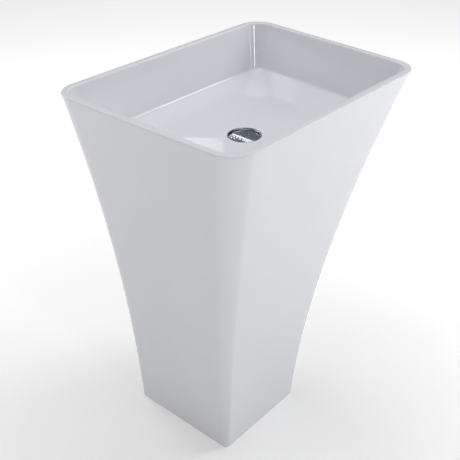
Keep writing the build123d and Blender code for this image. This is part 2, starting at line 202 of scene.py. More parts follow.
def mottled(name, light, dark, grain, rough, bump, bump_grain, stretch=(1, 1, 1), metal=0.0):
    """A surface whose colour and roughness drift a little over its own grain, with a fine relief."""
    material = bpy.data.materials.new(name)
    material.use_nodes = True
    nodes, links = material.node_tree.nodes, material.node_tree.links
    shader = nodes["Principled BSDF"]
    shader.inputs["Metallic"].default_value = metal
    place = nodes.new("ShaderNodeTexCoord")
    scaled = nodes.new("ShaderNodeMapping")
    scaled.inputs["Scale"].default_value = stretch
    links.new(place.outputs["Object"], scaled.inputs["Vector"])
    drift = nodes.new("ShaderNodeTexNoise")
    drift.inputs["Scale"].default_value = grain
    drift.inputs["Detail"].default_value = 5.0
    links.new(scaled.outputs["Vector"], drift.inputs["Vector"])
    tone = nodes.new("ShaderNodeValToRGB")
    tone.color_ramp.elements[0].position = 0.35
    tone.color_ramp.elements[0].color = (*dark, 1.0)
    tone.color_ramp.elements[1].position = 0.65
    tone.color_ramp.elements[1].color = (*light, 1.0)
    links.new(drift.outputs["Fac"], tone.inputs["Fac"])
    links.new(tone.outputs["Color"], shader.inputs["Base Color"])
    fine = nodes.new("ShaderNodeTexNoise")
    fine.inputs["Scale"].default_value = bump_grain
    fine.inputs["Detail"].default_value = 3.0
    links.new(scaled.outputs["Vector"], fine.inputs["Vector"])
    polish = nodes.new("ShaderNodeMapRange")
    polish.inputs["From Min"].default_value = 0.3
    polish.inputs["From Max"].default_value = 0.7
    polish.inputs["To Min"].default_value = rough[0]
    polish.inputs["To Max"].default_value = rough[1]
    links.new(fine.outputs["Fac"], polish.inputs["Value"])
    links.new(polish.outputs["Result"], shader.inputs["Roughness"])
    relief = nodes.new("ShaderNodeBump")
    relief.inputs["Strength"].default_value = 1.0
    relief.inputs["Distance"].default_value = bump
    links.new(fine.outputs["Fac"], relief.inputs["Height"])
    links.new(relief.outputs["Normal"], shader.inputs["Normal"])
    return material


stone_resin = mottled(
    "stone_resin", light=(0.790, 0.797, 0.834), dark=(0.778, 0.785, 0.822), grain=9.0,
    rough=(0.07, 0.10), bump=0.0000005, bump_grain=420.0)
stone_resin.node_tree.nodes["Principled BSDF"].inputs["Coat Weight"].default_value = 0.4
stone_resin.node_tree.nodes["Principled BSDF"].inputs["Coat Roughness"].default_value = 0.05

SHELL_WALL = 0.014
SHELL_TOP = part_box("pedestal_shell")[1].z
FOOT_FLANGE = 0.024
FOOT_FLANGE_TOP = 0.020
FOOT_EDGE = 0.0012
outer = [flared_ring(z) for z in even(FOOT_EDGE, SHELL_TOP, 60)]
under = [flared_ring(0.0, FOOT_EDGE)]
bottom = rounded_edge(under[0], flared_ring(0.0), outer[0])
inner = [flared_ring(z, SHELL_WALL) for z in reversed(even(FOOT_FLANGE_TOP, SHELL_TOP, 30))]
flange = [flared_ring(FOOT_FLANGE_TOP, FOOT_FLANGE), flared_ring(0.0, FOOT_FLANGE)]
pedestal = mesh_of("pedestal_shell_casting", under + bottom + outer + inner + flange)

OPENING_HALF = 0.100
OPENING_BOTTOM = 0.300
OPENING_TOP = 0.680
OPENING_CORNER = 0.025
OPENING_EDGE = 0.0015
OVERCUT = 0.010


def opening_ring(y, grow):
    """Outline of the service opening on the plane y, grown by the chamfer at the wall's two faces."""
    points = []
    radius = OPENING_CORNER + grow
    middle_z = (OPENING_BOTTOM + OPENING_TOP) / 2
    side = OPENING_HALF - OPENING_CORNER
    rise = (OPENING_TOP - OPENING_BOTTOM) / 2 - OPENING_CORNER
    for quarter, (sx, sz) in enumerate(((1, 1), (-1, 1), (-1, -1), (1, -1))):
        for k in range(CORNER_STEPS + 1):
            a = math.pi / 2 * (quarter + k / CORNER_STEPS)
            x = sx * side + radius * math.cos(a)
            points.append(Vector((x, y, middle_z + sz * rise + radius * math.sin(a))))
    return points


wall_in = BACK_Y - SHELL_WALL
opening_tool = mesh_of("opening_tool", [
    opening_ring(wall_in - OVERCUT, OPENING_EDGE + OVERCUT), opening_ring(wall_in + OPENING_EDGE, 0.0),
    opening_ring(BACK_Y - OPENING_EDGE, 0.0),
    opening_ring(BACK_Y + OVERCUT, OPENING_EDGE + OVERCUT)], loop=False)

# Two thick pads are cast inside the foot, one on each side, to take the brackets' screws. Each has two
# blind holes for brass inserts.
PAD_X = 0.108
PAD_Y = (0.015, 0.145)
PAD_TOP = 0.075
PAD_EASE = 0.002
SCREW_Z = 0.042
SCREW_Y = (0.050, 0.110)
INSERT_R = 0.005
INSERT_LENGTH = 0.012


def pad_ring(side, z, inset):
    """Outline of a pad at height z; its outer edge is buried in the middle of the foot's wall."""
    low, high = PAD_Y[0] + inset, PAD_Y[1] - inset
    near = PAD_X + inset
    far_low, far_high = [flare(z)[0] - SIDE_TAPER * (BACK_Y - y) - SHELL_WALL / 2 for y in (low, high)]
    points = [(near, low), (far_low, low), (far_high, high), (near, high)]
    return [Vector((side * x, y, z)) for x, y in points]


def pointing_out(side, x, y, z):
    """Places a form built along +Z so that it points outward along X, with its foot at (x, y, z)."""
    return Matrix.Translation((side * x, y, z)) @ Matrix.Rotation(math.radians(90 * side), 4, "Y")


def circle(radius, z, steps=48):
    return [Vector((radius * math.cos(a), radius * math.sin(a), z))
            for a in (2 * math.pi * k / steps for k in range(steps))]


def drill(name, radius, low, high):
    """A round tool from low to high, to bore a hole with."""
    return mesh_of(name, [circle(radius, low), circle(radius, high)], loop=False)


pads = []
insert_tools = []
for side in (-1, 1):
    levels = [(0.0, 0.0), (PAD_TOP - PAD_EASE, 0.0), (PAD_TOP, PAD_EASE)]
    pads.append(mesh_of(f"pad_{side + 1}", [pad_ring(side, z, inset) for z, inset in levels], loop=False))
    for y in SCREW_Y:
        tool = drill("insert_tool", INSERT_R, -OVERCUT, INSERT_LENGTH)
        tool.data.transform(pointing_out(side, PAD_X, y, SCREW_Z))
        insert_tools.append(tool)
carve(pedestal, pads, "UNION")
carve(pedestal, insert_tools + [opening_tool])
settle(pedestal, "pedestal_shell", stone_resin)

# Each bracket is an angle of zinc-plated steel strip. One leg lies on the floor, where two anchor bolts
# hold it, and the other is screwed to the pad.
STEEL = 0.003
BRACKET_Y = (0.020, 0.140)
BRACKET_FOOT = 0.046
BRACKET_TOP = 0.060
BEND_R = 0.003
FLOOR_HOLE_X = 0.082
FLOOR_HOLE_R = 0.0045
SCREW_HOLE_R = 0.0033
BRACKET_CORNER = 0.006
BRACKET_EDGE = 0.0003
ARC_STEPS = 8
zinc_plate = mottled(
    "zinc_plate", light=(0.66, 0.67, 0.68), dark=(0.50, 0.51, 0.53), grain=160.0,
    rough=(0.28, 0.42), bump=0.00001, bump_grain=900.0, metal=1.0)


def softened(corners, steps=4):
    """Points of an outline whose corners are (a, b, easing); an easing of 0 keeps the corner sharp."""
    points = []
    for i, (a, b, ease) in enumerate(corners):
        if not ease:
            points.append((a, b))
            continue
        here = Vector((a, b))
        start = here + (Vector(corners[i - 1][:2]) - here).normalized() * ease
        end = here + (Vector(corners[(i + 1) % len(corners)][:2]) - here).normalized() * ease
        for k in range(steps + 1):
            t = k / steps
            points.append(tuple(start * (1 - t) ** 2 + here * 2 * t * (1 - t) + end * t * t))
    return points


def eased(thing, width, angle=40.0):
    """Breaks every sharp edge with a small rounded bevel."""
    bevel = thing.modifiers.new("broken_edges", "BEVEL")
    bevel.width = width
    bevel.segments = 2
    bevel.limit_method = "ANGLE"
    bevel.angle_limit = math.radians(angle)
    bpy.context.view_layer.update()
    shaped = thing.evaluated_get(bpy.context.evaluated_depsgraph_get())
    thing.data = bpy.data.meshes.new_from_object(shaped)
    thing.modifiers.clear()
    crisp(thing.data)


def strip_corner(side, y, z, inward):
    """A tool that rounds one upper corner of a bracket's upright leg."""
    centre_y = y + inward * BRACKET_CORNER
    arc = [(y - inward * OVERCUT, z - BRACKET_CORNER), (y - inward * OVERCUT, z + OVERCUT)]
    arc += [(centre_y, z + OVERCUT)]
    for k in range(ARC_STEPS + 1):
        a = math.pi / 2 * k / ARC_STEPS
        arc.append((centre_y - inward * BRACKET_CORNER * math.sin(a),
                    z - BRACKET_CORNER + BRACKET_CORNER * math.cos(a)))
    rings = [[Vector((side * x, v, w)) for v, w in arc] for x in (PAD_X - OVERCUT, PAD_X + OVERCUT)]
    return mesh_of("corner_tool", rings, loop=False)


for side, word in ((-1, "left"), (1, "right")):
    heel = PAD_X
    toe = PAD_X - BRACKET_FOOT
    section = softened([
        (toe, 0, 0), (heel, 0, BEND_R), (heel, BRACKET_TOP, 0), (heel - STEEL, BRACKET_TOP, 0),
        (heel - STEEL, STEEL, BEND_R), (toe, STEEL, 0)])
    bracket = mesh_of(
        f"floor_bracket_{word}_steel",
        [[Vector((side * x, y, z)) for x, z in section] for y in BRACKET_Y], loop=False)
    tools = []
    for y in SCREW_Y:
        hole = drill("floor_hole", FLOOR_HOLE_R, -OVERCUT, OVERCUT)
        hole.data.transform(Matrix.Translation((side * FLOOR_HOLE_X, y, 0)))
        bore = drill("screw_hole", SCREW_HOLE_R, -OVERCUT, OVERCUT)
        bore.data.transform(pointing_out(side, PAD_X, y, SCREW_Z))
        tools += [hole, bore]
    tools += [strip_corner(side, y, BRACKET_TOP, inward) for y, inward in zip(BRACKET_Y, (1, -1))]
    carve(bracket, tools)
    eased(bracket, BRACKET_EDGE)
    settle(bracket, f"floor_bracket_{word}", zinc_plate)

# Knurled brass inserts are moulded into the pads and take the brackets' screws.
KNURLS = 24
KNURL_HEIGHT = 0.0003
INSERT_BORE = 0.0030
brass = mottled(
    "brass", light=(0.80, 0.60, 0.30), dark=(0.62, 0.43, 0.19), grain=120.0,
    rough=(0.22, 0.38), bump=0.000006, bump_grain=1500.0, metal=1.0)


def turned(name, profile, steps=96, angle=35.0):
    """A lathe form of a closed loop of (radius, z), where a radius may be a function of the bearing."""
    rings = []
    for radius, z in profile:
        ring = []
        for k in range(steps):
            a = 2 * math.pi * k / steps
            r = radius(a) if callable(radius) else radius
            ring.append(Vector((r * math.cos(a), r * math.sin(a), z)))
        rings.append(ring)
    return mesh_of(name, rings, angle=angle)


def ribs(radius, count, height):
    """A radius that rises and falls count times round the piece."""
    return lambda a: radius + height * max(0.0, math.cos(count * a)) ** 2


def joined(name, things):
    """One piece made of several closed forms."""
    bm = bmesh.new()
    for thing in things:
        bm.from_mesh(thing.data)
        bpy.data.objects.remove(thing)
    mesh = bpy.data.meshes.new(name)
    bm.to_mesh(mesh)
    bm.free()
    crisp(mesh)
    whole = bpy.data.objects.new(name, mesh)
    bpy.context.scene.collection.objects.link(whole)
    return whole


def at_each_screw(name, make, x):
    """The same form at all four bracket screws, pointing outward from x."""
    copies = []
    for side in (-1, 1):
        for y in SCREW_Y:
            copy = make()
            copy.data.transform(pointing_out(side, x, y, SCREW_Z))
            copies.append(copy)
    return joined(name, copies)


def knurled_insert():
    knurl = ribs(INSERT_R - KNURL_HEIGHT, KNURLS, KNURL_HEIGHT)
    return turned("insert", [
        (INSERT_BORE + 0.0004, 0), (INSERT_R - 0.0006, 0), (INSERT_R - KNURL_HEIGHT, 0.0006),
        (knurl, 0.0009), (knurl, 0.0050), (INSERT_R - 0.0009, 0.0055), (INSERT_R - 0.0009, 0.0065),
        (knurl, 0.0070), (knurl, 0.0112), (INSERT_R - 0.0008, INSERT_LENGTH),
        (INSERT_BORE, INSERT_LENGTH), (INSERT_BORE, 0.0004)])


settle(at_each_screw("bracket_inserts", knurled_insert, PAD_X), "bracket_insert", brass)

# Plain stainless washers under the screws' heads, stamped, so one edge is rounded.
WASHER_R = 0.006
WASHER_HOLE_R = 0.0032
WASHER_THICKNESS = 0.0016
stainless = mottled(
    "stainless", light=(0.70, 0.69, 0.67), dark=(0.56, 0.55, 0.54), grain=200.0,
    rough=(0.20, 0.34), bump=0.000004, bump_grain=2400.0, metal=1.0)


def stamped_washer():
    return turned("washer", softened([
        (WASHER_HOLE_R, 0, 0.0002), (WASHER_R, 0, 0.0005), (WASHER_R, WASHER_THICKNESS, 0.0001),
        (WASHER_HOLE_R, WASHER_THICKNESS, 0.0001)]), steps=48)


washer_x = PAD_X - STEEL - WASHER_THICKNESS
washers = at_each_screw("bracket_washers", stamped_washer, washer_x)
settle(washers, "bracket_washer", stainless)

# Button-head screws, M6, with a hexagon socket and a rolled thread. Like every solid form turned here,
# they close on a small flat round the axis.
AXIS_R = 0.0004
SCREW_R = 0.003
HEAD_R = 0.00575
HEAD_HEIGHT = 0.004
SOCKET_R = 0.0023
SOCKET_DEPTH = 0.0024
SCREW_PITCH = 0.001
SCREW_LENGTH = PAD_X + INSERT_LENGTH - 0.001 - washer_x


def hexagon(reach, turn=0.0):
    """Radius of a hexagon with its flats at reach, at each bearing."""
    sector = math.pi / 3
    return lambda a: reach / math.cos((a + turn) % sector - sector / 2)


def thread(radius, depth, pitch, z):
    """Radius of a helical thread at height z, at each bearing."""
    return lambda a: radius - depth * abs(2 * ((z / pitch - a / (2 * math.pi)) % 1.0) - 1)


def threaded(radius, depth, pitch, low, high, per_turn=6):
    """Profile rows that carry a thread from low to high."""
    steps = max(2, round(abs(high - low) / pitch * per_turn))
    return [(thread(radius, depth, pitch, z), z) for z in even(low, high, steps)]


def button_screw():
    socket = hexagon(SOCKET_R * math.cos(math.pi / 6))
    dome = softened([
        (SOCKET_R + 0.0006, -HEAD_HEIGHT, 0.0002), (HEAD_R - 0.0004, -HEAD_HEIGHT, 0.0022),
        (HEAD_R, 0.0, 0.0)], steps=6)[:-1]
    return turned("screw", (
        [(socket, -HEAD_HEIGHT + 0.0002)] + dome + [(HEAD_R, -0.0006), (HEAD_R - 0.0002, 0.0), (SCREW_R, 0.0)]
        + threaded(SCREW_R, 0.0005, SCREW_PITCH, 0.0008, SCREW_LENGTH - 0.0008)
        + [(SCREW_R - 0.0009, SCREW_LENGTH), (AXIS_R, SCREW_LENGTH)]
        + [(AXIS_R, -HEAD_HEIGHT + SOCKET_DEPTH + 0.0006), (socket, -HEAD_HEIGHT + SOCKET_DEPTH)]), steps=48)


screws = at_each_screw("bracket_screws", button_screw, washer_x)
settle(screws, "bracket_screw", stainless)

# The basin is the second casting. Its rim, slanted walls and dished floor are one piece with the boss
# for the waste, and a tongue under its edge drops into the pedestal's mouth.
BOWL_BOTTOM = SHELL_TOP + 0.001
RIM_WALL = 0.015
EDGE_ROUND = 0.002
WALL_SLOPE = 0.275
INNER_CORNER = 0.036
FLOOR_CORNER = 0.028
FLOOR_EDGE_Z = 0.802
DRAIN_Z = 0.776
COVE_REACH = 0.0055
RECESS_R = 0.0357
RECESS_Z = 0.763
WASTE_HOLE_R = 0.0225
BOSS_R = 0.048
BOSS_Z = 0.752
UNDERSIDE_Z = 0.760
TONGUE_INSET = SHELL_WALL + 0.0015
TONGUE_Z = BOWL_BOTTOM - 0.008
DISH_POWER = 1.5
DRAIN_FLAT = 0.003
RECESS_LIP = 0.0008


def basin_ring(z):
    """The inner wall's outline at height z."""
    inset = RIM_WALL + WALL_SLOPE * (FULL_HEIGHT - z)
    share = (FULL_HEIGHT - z) / (FULL_HEIGHT - FLOOR_EDGE_Z)
    radius = INNER_CORNER + (FLOOR_CORNER - INNER_CORNER) * share
    return rounded_plan(RIM_HALF - inset, BACK_Y - inset, RIM_FRONT + inset, radius, z)


floor_edge = basin_ring(FLOOR_EDGE_Z)
bearings = [math.atan2(p.y, p.x) for p in floor_edge]


def round_ring(radius, z):
    """A circle round the drain, its points in line with those of the floor's edge."""
    return [Vector((radius * math.cos(a), radius * math.sin(a), z)) for a in bearings]


def dish_ring(share):
    """The dished floor from its edge, share 0, to the flat round the drain, share 1."""
    z = FLOOR_EDGE_Z - (FLOOR_EDGE_Z - DRAIN_Z) * (1 - (1 - share) ** DISH_POWER)
    flat = round_ring(RECESS_R + DRAIN_FLAT, z)
    return [Vector((*a.lerp(b, share).xy, z)) for a, b in zip(floor_edge, flat)]


rim_z = FULL_HEIGHT
outside = [flared_ring(z) for z in even(BOWL_BOTTOM, rim_z - EDGE_ROUND, 14)]
rim_outer = flared_ring(rim_z, EDGE_ROUND)
rim_inner = rounded_plan(
    RIM_HALF - RIM_WALL + EDGE_ROUND, BACK_Y - RIM_WALL + EDGE_ROUND, RIM_FRONT + RIM_WALL - EDGE_ROUND,
    INNER_CORNER + EDGE_ROUND, rim_z)
walls = [basin_ring(z) for z in even(rim_z - EDGE_ROUND, FLOOR_EDGE_Z + COVE_REACH, 16)]
dish = [dish_ring(s) for s in even(0.03, 1.0, 28)]
lip = round_ring(RECESS_R + RECESS_LIP, DRAIN_Z)
recess = [
    round_ring(RECESS_R, DRAIN_Z - RECESS_LIP), round_ring(RECESS_R, RECESS_Z),
    round_ring(WASTE_HOLE_R, RECESS_Z)]
boss = [round_ring(WASTE_HOLE_R, BOSS_Z), round_ring(BOSS_R, BOSS_Z), round_ring(BOSS_R, UNDERSIDE_Z)]
tongue = [flared_ring(TONGUE_Z, TONGUE_INSET), flared_ring(BOWL_BOTTOM, TONGUE_INSET)]
bowl = mesh_of("basin_bowl_casting", (
    outside
    + rounded_edge(outside[-1], flared_ring(rim_z), rim_outer)
    + [rim_outer, rim_inner]
    + rounded_edge(rim_inner, basin_ring(rim_z), walls[0])
    + walls
    + rounded_edge(walls[-1], floor_edge, dish[0], steps=9)
    + dish
    + [lip]
    + recess
    + boss
    + tongue))
settle(bowl, "basin_bowl", stone_resin)

# A 1 mm bead of colour-matched adhesive bonds the two castings. It is wiped flush and polished over.
BEAD_WALL = 0.014
bead_low, bead_high = SHELL_TOP, BOWL_BOTTOM
bead = mesh_of("bond_bead_adhesive", [
    flared_ring(bead_low), flared_ring((bead_low + bead_high) / 2), flared_ring(bead_high),
    flared_ring(bead_high, BEAD_WALL), flared_ring(bead_low, BEAD_WALL)])
bead_resin = mottled(
    "bead_resin", light=(0.790, 0.797, 0.834), dark=(0.778, 0.785, 0.822), grain=14.0,
    rough=(0.08, 0.12), bump=0.0000005, bump_grain=600.0)
settle(bead, "bond_bead", bead_resin)

# A flat rubber ring seals the waste's cup on the floor of its recess.
CUP_Z = 0.764
SEAL_THICKNESS = 0.001
SEAL_R = 0.035
rubber = mottled(
    "rubber", light=(0.035, 0.035, 0.037), dark=(0.018, 0.018, 0.020), grain=90.0,
    rough=(0.55, 0.75), bump=0.00002, bump_grain=1200.0)
flange_seal = turned("flange_seal_rubber", softened([
    (WASTE_HOLE_R, CUP_Z - SEAL_THICKNESS, 0.0002), (SEAL_R, CUP_Z - SEAL_THICKNESS, 0.0003),
    (SEAL_R, CUP_Z, 0.0003), (WASTE_HOLE_R, CUP_Z, 0.0002)]))
settle(flange_seal, "flange_seal", rubber)

# The waste is a chrome-plated brass cup with a threaded tail. Three arms in the tail carry the hub
# that the latch screws into.
CUP_R = 0.0355
CUP_WALL = 0.0015
CUP_FLOOR = 0.002
CUP_LIP = 0.0002
LAND_MARGIN = 0.0006
TAIL_R = 0.02095
TAIL_BORE_R = 0.0185
TAIL_Z = 0.688
TAIL_PITCH = 0.002309
THREAD_DEPTH = 0.0011
THREAD_TOP = 0.748
BRIDGE_Z = (0.744, 0.751)
BRIDGE_ARM = 0.003
ARM_BEARINGS = (30, 150, 270)
ARM_SPAN = (0.0078, 0.0192)
HUB_R = 0.0095
HUB_BORE_R = 0.0070
chrome = mottled(
    "chrome", light=(0.80, 0.81, 0.83), dark=(0.76, 0.77, 0.79), grain=60.0,
    rough=(0.015, 0.035), bump=0.00000003, bump_grain=900.0, metal=1.0)
inside = CUP_R - CUP_WALL
cup_profile = softened([
    (TAIL_R - 0.0014, THREAD_TOP + 0.0006, 0), (TAIL_R - 0.0014, THREAD_TOP + 0.0020, 0),
    (TAIL_R, THREAD_TOP + 0.0034, 0), (TAIL_R, CUP_Z, 0.0006), (CUP_R, CUP_Z, 0.0005),
    (CUP_R, DRAIN_Z, CUP_LIP), (CUP_R - LAND_MARGIN, DRAIN_Z, 0), (inside + LAND_MARGIN, DRAIN_Z, 0),
    (inside, DRAIN_Z, CUP_LIP), (inside, DRAIN_Z - LAND_MARGIN, 0), (inside, CUP_Z + CUP_FLOOR, 0.0012),
    (TAIL_BORE_R, CUP_Z + CUP_FLOOR, 0.0015), (TAIL_BORE_R, TAIL_Z, 0.0003),
    (TAIL_R - THREAD_DEPTH, TAIL_Z, 0.0002)], steps=6)
cup = turned("cup", cup_profile + threaded(TAIL_R, THREAD_DEPTH, TAIL_PITCH, TAIL_Z + 0.0006, THREAD_TOP, 7))
hub = turned("hub", softened([
    (HUB_BORE_R, BRIDGE_Z[0], 0.0004), (HUB_R, BRIDGE_Z[0], 0.0005), (HUB_R, BRIDGE_Z[1], 0.0005),
    (HUB_BORE_R, BRIDGE_Z[1], 0.0004)]))
arms = []
for turn in ARM_BEARINGS:
    half = BRIDGE_ARM / 2
    arm_section = softened([
        (-half, BRIDGE_Z[0], 0.0006), (half, BRIDGE_Z[0], 0.0006), (half, BRIDGE_Z[1], 0.0012),
        (-half, BRIDGE_Z[1], 0.0012)])
    arm = mesh_of("arm", [[Vector((x, y, z)) for y, z in arm_section] for x in ARM_SPAN], loop=False)
    arm.data.transform(Matrix.Rotation(math.radians(turn), 4, "Z"))
    arms.append(arm)
carve(cup, [hub] + arms, "UNION")
cup.name = "waste_flange_cup"
settle(cup, "waste_flange", chrome)

# Under the bowl a tapered rubber washer, a nylon slip ring and a hexagonal brass backnut hold the waste
# down against its seal.
STACK_R = 0.033
STACK_BORE = 0.02125
UNDER_WASHER = 0.006
SLIP_RING = 0.0015
BACKNUT = 0.010
BACKNUT_AF = 0.060
BACKNUT_CORNER = 0.0335
NUT_BORE = 0.02105
washer_low = BOSS_Z - UNDER_WASHER
under_washer = turned("under_washer_rubber", softened([
    (STACK_BORE, washer_low, 0.0004), (STACK_R, washer_low, 0.0006), (STACK_R, BOSS_Z - 0.0025, 0.0006),
    (STACK_R - 0.0025, BOSS_Z, 0.0006), (STACK_BORE, BOSS_Z, 0.0004)]))
settle(under_washer, "under_washer", rubber)
nylon = mottled(
    "nylon", light=(0.80, 0.79, 0.74), dark=(0.72, 0.71, 0.66), grain=70.0,
    rough=(0.32, 0.45), bump=0.000008, bump_grain=1100.0)
nylon.node_tree.nodes["Principled BSDF"].inputs["Subsurface Weight"].default_value = 0.15
nylon.node_tree.nodes["Principled BSDF"].inputs["Subsurface Scale"].default_value = 0.002
slip_low = washer_low - SLIP_RING
slip_ring = turned("slip_ring_nylon", softened([
    (STACK_BORE, slip_low, 0.0003), (STACK_R, slip_low, 0.0004), (STACK_R, washer_low, 0.0004),
    (STACK_BORE, washer_low, 0.0003)]))
settle(slip_ring, "slip_ring", nylon)


def capped_hexagon(reach, limit):
    """Radius of a hexagon whose corners are turned down to limit."""
    flats = hexagon(reach)
    return lambda a: min(flats(a), limit)


nut_low = slip_low - BACKNUT
flats = [
    (capped_hexagon(BACKNUT_AF / 2, BACKNUT_CORNER - drop * 1.6), nut_low + rise)
    for rise, drop in ((0.0, 0.0015), (0.0008, 0.0006), (0.0016, 0.0))]
flats += [
    (capped_hexagon(BACKNUT_AF / 2, BACKNUT_CORNER - drop * 1.6), slip_low - rise)
    for rise, drop in ((0.0016, 0.0), (0.0008, 0.0006), (0.0, 0.0015))]
nut_depth = THREAD_DEPTH * 0.6
bore = threaded(NUT_BORE + nut_depth, nut_depth, TAIL_PITCH, slip_low - 0.0008, nut_low + 0.0008, 7)
backnut = turned("backnut_brass", (
    [(NUT_BORE + 0.0012, nut_low)] + flats + [(NUT_BORE + 0.0012, slip_low)] + bore), steps=144, angle=25.0)
settle(backnut, "backnut", brass)

# The click latch: a nylon cartridge screwed into the hub, a steel spring on its floor, and the plunger
# under the cap. The cap clicks 9 mm up to open.
CARTRIDGE_R = 0.0069
CARTRIDGE_HEAD_R = 0.0090
CARTRIDGE_BORE = 0.00405
CARTRIDGE_Z = (0.720, 0.758)
CARTRIDGE_FLOOR = 0.002
cartridge = turned("latch_cartridge_nylon", softened([
    (AXIS_R, CARTRIDGE_Z[0], 0), (CARTRIDGE_R, CARTRIDGE_Z[0], 0.0010), (CARTRIDGE_R, BRIDGE_Z[1], 0),
    (CARTRIDGE_HEAD_R, BRIDGE_Z[1], 0.0003), (CARTRIDGE_HEAD_R, CARTRIDGE_Z[1], 0.0010),
    (CARTRIDGE_BORE, CARTRIDGE_Z[1], 0.0004), (CARTRIDGE_BORE, CARTRIDGE_Z[0] + CARTRIDGE_FLOOR, 0),
    (AXIS_R, CARTRIDGE_Z[0] + CARTRIDGE_FLOOR, 0)]), steps=64)
settle(cartridge, "latch_cartridge", nylon)

SPRING_R = 0.0032
WIRE_R = 0.0004
SPRING_COILS = 6
TURN_STEPS = 28
WIRE_POINTS = 10
SPRING_Z = (0.7222, 0.7448)
spring_steel = mottled(
    "spring_steel", light=(0.62, 0.61, 0.60), dark=(0.42, 0.41, 0.41), grain=300.0,
    rough=(0.18, 0.30), bump=0.000004, bump_grain=3000.0, metal=1.0)


def coil():
    """A wire wound round the axis with a closed turn at each end."""
    rings = []
    turns = SPRING_COILS + 2
    steps = turns * TURN_STEPS
    low, high = SPRING_Z[0] + WIRE_R, SPRING_Z[1] - WIRE_R
    for i in range(steps + 1):
        t = turns * i / steps
        closed = 2 * WIRE_R * 1.02
        if t < 1:
            z = low + closed * t
        elif t > turns - 1:
            z = high - closed * (turns - t)
        else:
            z = low + closed + (high - low - 2 * closed) * (t - 1) / (turns - 2)
        a = 2 * math.pi * t
        out = Vector((math.cos(a), math.sin(a), 0))
        rings.append([
            out * (SPRING_R + WIRE_R * math.cos(b)) + Vector((0, 0, z + WIRE_R * math.sin(b)))
            for b in (2 * math.pi * k / WIRE_POINTS for k in range(WIRE_POINTS))])
    return mesh_of("cartridge_spring_wire", rings, loop=False)


settle(coil(), "cartridge_spring", spring_steel)

STEM_R = 0.004
STEM_Z = 0.745
CAP_UNDER = 0.769
STEM_HEAD_R = 0.00925
STEM_HEAD = 0.002
stem = turned("plunger_stem_nylon", softened([
    (AXIS_R, STEM_Z, 0), (STEM_R, STEM_Z, 0.0008), (STEM_R, CAP_UNDER - STEM_HEAD, 0.0012),
    (STEM_HEAD_R, CAP_UNDER - STEM_HEAD, 0.0006), (STEM_HEAD_R, CAP_UNDER, 0.0003),
    (AXIS_R, CAP_UNDER, 0)]), steps=64)
settle(stem, "plunger_stem", nylon, "drain_plug")

CAP_SEAL_R = 0.0245
CAP_SEAL_BORE = 0.0165
CAP_SEAL_Z = CUP_Z + CUP_FLOOR + 0.0003
cap_seal = turned("cap_seal_rubber", softened([
    (CAP_SEAL_BORE, CAP_SEAL_Z, 0.0008), (CAP_SEAL_R, CAP_SEAL_Z, 0.0008), (CAP_SEAL_R, CAP_UNDER, 0.0003),
    (CAP_SEAL_BORE, CAP_UNDER, 0.0003)]))
settle(cap_seal, "cap_seal", rubber, "drain_plug")

# The cap is a turned brass disc, polished flat and chrome-plated, with a rounded edge.
CAP_R = 0.0315
CAP_TOP = 0.7715
CAP_EDGE = 0.0009
face = [(CAP_R * s, CAP_TOP) for s in (0.9, 0.7, 0.5, 0.3, 0.15)] + [(AXIS_R, CAP_TOP)]
cap = turned("plug_cap_chrome", (
    [(AXIS_R, CAP_UNDER), (CAP_R - 0.0004, CAP_UNDER), (CAP_R, CAP_UNDER + 0.0004)]
    + [(CAP_R - CAP_EDGE * (1 - math.cos(a)), CAP_TOP - CAP_EDGE + CAP_EDGE * math.sin(a))
       for a in (math.pi / 2 * k / 6 for k in range(7))]
    + face), steps=128)
settle(cap, "plug_cap", chrome, "drain_plug")

# The trap hangs from the waste's tail: a ribbed union nut in white polypropylene with a flat rubber
# ring under the tail, and the dip tube whose collar the nut pulls up.
TUBE_R = 0.016
TUBE_BORE = 0.0142
TUBE_SOCKET = 0.0163
TUBE_COLLAR_R = 0.0206
TUBE_COLLAR = 0.003
TUBE_END = 0.552
NUT_R = 0.025
NUT_RIBS = 12
NUT_EDGE = 0.0012
RIB_HEIGHT = 0.0020
RIB_END = 0.0018
NUT_LENGTH = 0.020
NUT_SHOULDER = 0.003
INLET_SEAL = 0.002
INLET_NUT_Z = 0.680
trap_plastic = mottled(
    "trap_plastic", light=(0.80, 0.81, 0.81), dark=(0.75, 0.76, 0.765), grain=45.0,
    rough=(0.30, 0.42), bump=0.00001, bump_grain=1300.0)
trap_plastic.node_tree.nodes["Principled BSDF"].inputs["Subsurface Weight"].default_value = 0.08
trap_plastic.node_tree.nodes["Principled BSDF"].inputs["Subsurface Scale"].default_value = 0.003
pipe_plastic = mottled(
    "pipe_plastic", light=(0.78, 0.79, 0.80), dark=(0.74, 0.75, 0.76), grain=25.0,
    rough=(0.22, 0.30), bump=0.000006, bump_grain=700.0, stretch=(1.0, 0.25, 0.25))


def ribbed(radius, count, height, width):
    """A radius with count flat-topped ribs of that height, each width of a bearing step wide."""
    def reach(a):
        phase = abs((a * count / (2 * math.pi) + 0.5) % 1.0 - 0.5) * 2
        return radius + height * min(1.0, max(0.0, (width - phase) / 0.14))
    return reach


